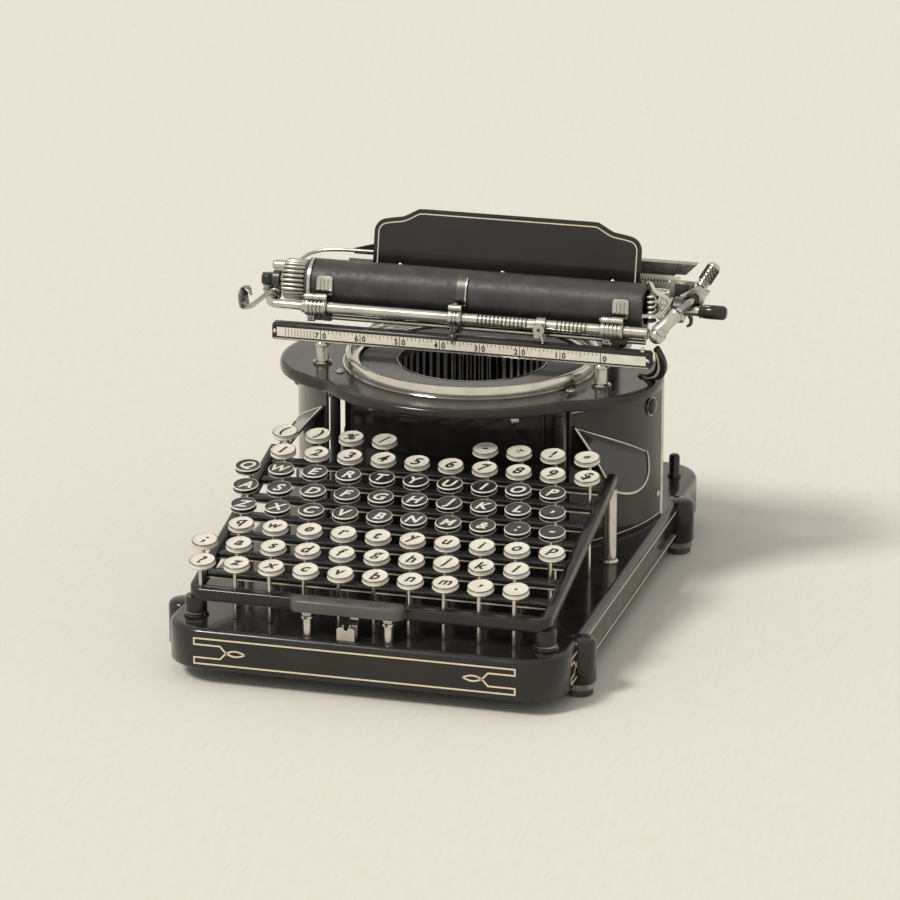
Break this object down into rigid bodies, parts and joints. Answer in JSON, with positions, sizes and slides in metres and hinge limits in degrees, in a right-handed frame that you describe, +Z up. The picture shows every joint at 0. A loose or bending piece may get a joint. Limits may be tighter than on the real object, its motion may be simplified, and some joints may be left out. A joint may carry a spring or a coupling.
{
  "type": "full-keyboard typewriter",
  "caption": "Vintage full-keyboard typewriter with a low open base, a round type basket under a sliding carriage, and round keys on long levers.",
  "frame": {"origin": "on the table, under the middle of the machine's overall box", "axes": "+X to the typist's right, +Y away from the typist, +Z up"},
  "size_m": [0.322, 0.375, 0.2182],
  "materials": {
    "japan_black": "gloss",
    "nickel": "polished",
    "steel": "satin",
    "rubber": "matte",
    "key_white": "gloss",
    "key_black": "gloss",
    "ivory": "satin",
    "pad": "matte"
  },
  "bodies": {
    "machine": {"base_casting": "japan_black", "body_columns": "japan_black", "carriage_way": "japan_black", "front_panel": "japan_black", "guard_arm": "nickel", "ink_pad": "pad", "key_guide_slats": "japan_black", "keyboard_frame": "japan_black", "keyboard_posts": "japan_black", "lever_fulcrum_shaft": "steel", "pull_wires": "steel", "rear_panel": "japan_black", "rubber_feet": "rubber", "scale_bar": "ivory", "scale_posts": "nickel", "side_shells": "japan_black", "side_wings": "japan_black", "space_guide": "nickel", "top_plate": "japan_black", "type_bar_hanger": "steel", "type_bars": "steel", "type_ring": "nickel"},
    "key_row_1": {"keys_row1": "key_white"},
    "lever_row_1": {"levers_row1": "steel"},
    "key_row_2": {"keys_row2": "key_white"},
    "lever_row_2": {"levers_row2": "steel"},
    "key_row_3": {"keys_row3": "key_white"},
    "lever_row_3": {"levers_row3": "steel"},
    "key_row_4": {"keys_row4": "key_black"},
    "lever_row_4": {"levers_row4": "steel"},
    "key_row_5": {"keys_row5": "key_black"},
    "lever_row_5": {"levers_row5": "steel"},
    "key_row_6": {"keys_row6": "key_black"},
    "lever_row_6": {"levers_row6": "steel"},
    "key_row_7": {"keys_row7": "key_white"},
    "lever_row_7": {"levers_row7": "steel"},
    "key_row_8": {"keys_row8": "key_white"},
    "lever_row_8": {"levers_row8": "steel"},
    "space_bar": {"space_bar": "japan_black", "space_bar_posts": "nickel", "space_lever": "nickel"},
    "type_bar": {"swing_type_bar": "steel"},
    "pull_wire": {"swing_pull_wire": "steel"},
    "truck": {"carriage_truck": "nickel", "carriage_rack": "steel"},
    "carriage": {"carriage_frame": "nickel", "front_rails": "nickel", "rail_clamps": "nickel", "paper_fingers": "nickel", "paper_table": "japan_black"},
    "platen": {"platen": "rubber", "platen_shaft": "japan_black", "ratchet_wheel": "steel"},
    "feed_rollers": {"feed_rollers": "nickel"},
    "line_space_lever": {"line_space_lever": "nickel"},
    "release_lever": {"release_lever": "nickel"},
    "margin_stop": {"margin_stop": "nickel"},
    "escape_wheel": {"escape_wheel": "steel"},
    "spring_drum": {"mainspring_drum": "steel"}
  },
  "joints": [
    {"name": "key_row_1_press", "type": "slide", "parent": "machine", "child": "key_row_1", "axis": [0, 0, -1], "range_m": [0, 0.0072], "stiffness_N_per_m": 500, "springref_m": -0.012},
    {"name": "lever_row_1_turn", "type": "hinge", "parent": "machine", "child": "lever_row_1", "pos_m": [0, 0.165, 0.01695], "axis": [1, 0, 0], "range_deg": [0, 1.27]},
    {"name": "key_row_2_press", "type": "slide", "parent": "machine", "child": "key_row_2", "axis": [0, 0, -1], "range_m": [0, 0.0072], "stiffness_N_per_m": 500, "springref_m": -0.012},
    {"name": "lever_row_2_turn", "type": "hinge", "parent": "machine", "child": "lever_row_2", "pos_m": [0, 0.165, 0.01695], "axis": [1, 0, 0], "range_deg": [0, 1.35]},
    {"name": "key_row_3_press", "type": "slide", "parent": "machine", "child": "key_row_3", "axis": [0, 0, -1], "range_m": [0, 0.0072], "stiffness_N_per_m": 500, "springref_m": -0.012},
    {"name": "lever_row_3_turn", "type": "hinge", "parent": "machine", "child": "lever_row_3", "pos_m": [0, 0.165, 0.01695], "axis": [1, 0, 0], "range_deg": [0, 1.45]},
    {"name": "key_row_4_press", "type": "slide", "parent": "machine", "child": "key_row_4", "axis": [0, 0, -1], "range_m": [0, 0.0072], "stiffness_N_per_m": 500, "springref_m": -0.012},
    {"name": "lever_row_4_turn", "type": "hinge", "parent": "machine", "child": "lever_row_4", "pos_m": [0, 0.165, 0.01695], "axis": [1, 0, 0], "range_deg": [0, 1.56]},
    {"name": "key_row_5_press", "type": "slide", "parent": "machine", "child": "key_row_5", "axis": [0, 0, -1], "range_m": [0, 0.0072], "stiffness_N_per_m": 500, "springref_m": -0.012},
    {"name": "lever_row_5_turn", "type": "hinge", "parent": "machine", "child": "lever_row_5", "pos_m": [0, 0.165, 0.01695], "axis": [1, 0, 0], "range_deg": [0, 1.69]},
    {"name": "key_row_6_press", "type": "slide", "parent": "machine", "child": "key_row_6", "axis": [0, 0, -1], "range_m": [0, 0.0072], "stiffness_N_per_m": 500, "springref_m": -0.012},
    {"name": "lever_row_6_turn", "type": "hinge", "parent": "machine", "child": "lever_row_6", "pos_m": [0, 0.165, 0.01695], "axis": [1, 0, 0], "range_deg": [0, 1.85]},
    {"name": "key_row_7_press", "type": "slide", "parent": "machine", "child": "key_row_7", "axis": [0, 0, -1], "range_m": [0, 0.0072], "stiffness_N_per_m": 500, "springref_m": -0.012},
    {"name": "lever_row_7_turn", "type": "hinge", "parent": "machine", "child": "lever_row_7", "pos_m": [0, 0.165, 0.01695], "axis": [1, 0, 0], "range_deg": [0, 2.04]},
    {"name": "key_row_8_press", "type": "slide", "parent": "machine", "child": "key_row_8", "axis": [0, 0, -1], "range_m": [0, 0.0072], "stiffness_N_per_m": 500, "springref_m": -0.012},
    {"name": "lever_row_8_turn", "type": "hinge", "parent": "machine", "child": "lever_row_8", "pos_m": [0, 0.165, 0.01695], "axis": [1, 0, 0], "range_deg": [0, 2.27]},
    {"name": "space_bar_press", "type": "slide", "parent": "machine", "child": "space_bar", "axis": [0, 0, -1], "range_m": [0, 0.005], "stiffness_N_per_m": 400, "springref_m": -0.008},
    {"name": "pull_wire_slide", "type": "slide", "parent": "machine", "child": "pull_wire", "axis": [0, 0, -1], "range_m": [0, 0.00095]},
    {"name": "type_bar_swing", "type": "hinge", "parent": "machine", "child": "type_bar", "pos_m": [0, 0.125, 0.068], "axis": [1, 0, 0], "range_deg": [0, 40]},
    {"name": "carriage_slide", "type": "slide", "parent": "machine", "child": "truck", "axis": [1, 0, 0], "range_m": [-0.085, 0.085]},
    {"name": "carriage_tilt", "type": "hinge", "parent": "truck", "child": "carriage", "pos_m": [0, 0.101, 0.172], "axis": [-1, 0, 0], "range_deg": [0, 25]},
    {"name": "platen_turn", "type": "hinge", "parent": "carriage", "child": "platen", "pos_m": [0, 0.062, 0.1755], "axis": [1, 0, 0], "continuous": true},
    {"name": "feed_rollers_turn", "type": "hinge", "parent": "carriage", "child": "feed_rollers", "pos_m": [0, 0.044, 0.1586], "axis": [1, 0, 0], "continuous": true},
    {"name": "line_space_lever_turn", "type": "hinge", "parent": "carriage", "child": "line_space_lever", "pos_m": [0.131, 0.062, 0.1755], "axis": [-1, 0, 0], "range_deg": [0, 30], "stiffness_Nm_per_rad": 0.02, "springref_deg": -45.84},
    {"name": "release_lever_turn", "type": "hinge", "parent": "carriage", "child": "release_lever", "pos_m": [-0.1323, 0.067, 0.1675], "axis": [0, 0, 1], "range_deg": [0, 20]},
    {"name": "margin_stop_slide", "type": "slide", "parent": "carriage", "child": "margin_stop", "axis": [1, 0, 0], "range_m": [-0.045, 0.033]},
    {"name": "escape_wheel_turn", "type": "hinge", "parent": "machine", "child": "escape_wheel", "pos_m": [0.02, 0.1095, 0.16032], "axis": [0, 1, 0], "range_deg": [-330, 330]},
    {"name": "spring_drum_turn", "type": "hinge", "parent": "machine", "child": "spring_drum", "pos_m": [-0.058, 0.139, 0.1525], "axis": [0, 1, 0], "range_deg": [-290, 290]}
  ],
  "couplings": [
    {"joint": "lever_row_1_turn", "follows": "key_row_1_press", "rad_per_m": 3.0248},
    {"joint": "lever_row_2_turn", "follows": "key_row_2_press", "rad_per_m": 3.23},
    {"joint": "lever_row_3_turn", "follows": "key_row_3_press", "rad_per_m": 3.465},
    {"joint": "lever_row_4_turn", "follows": "key_row_4_press", "rad_per_m": 3.7369},
    {"joint": "lever_row_5_turn", "follows": "key_row_5_press", "rad_per_m": 4.0552},
    {"joint": "lever_row_6_turn", "follows": "key_row_6_press", "rad_per_m": 4.4326},
    {"joint": "lever_row_7_turn", "follows": "key_row_7_press", "rad_per_m": 4.8876},
    {"joint": "lever_row_8_turn", "follows": "key_row_8_press", "rad_per_m": 5.4466},
    {"joint": "pull_wire_slide", "follows": "key_row_2_press", "ratio": 0.1292},
    {"joint": "type_bar_swing", "follows": "key_row_2_press", "rad_per_m": 95.751},
    {"joint": "escape_wheel_turn", "follows": "carriage_slide", "rad_per_m": 65.45},
    {"joint": "spring_drum_turn", "follows": "carriage_slide", "rad_per_m": 55.556}
  ]
}
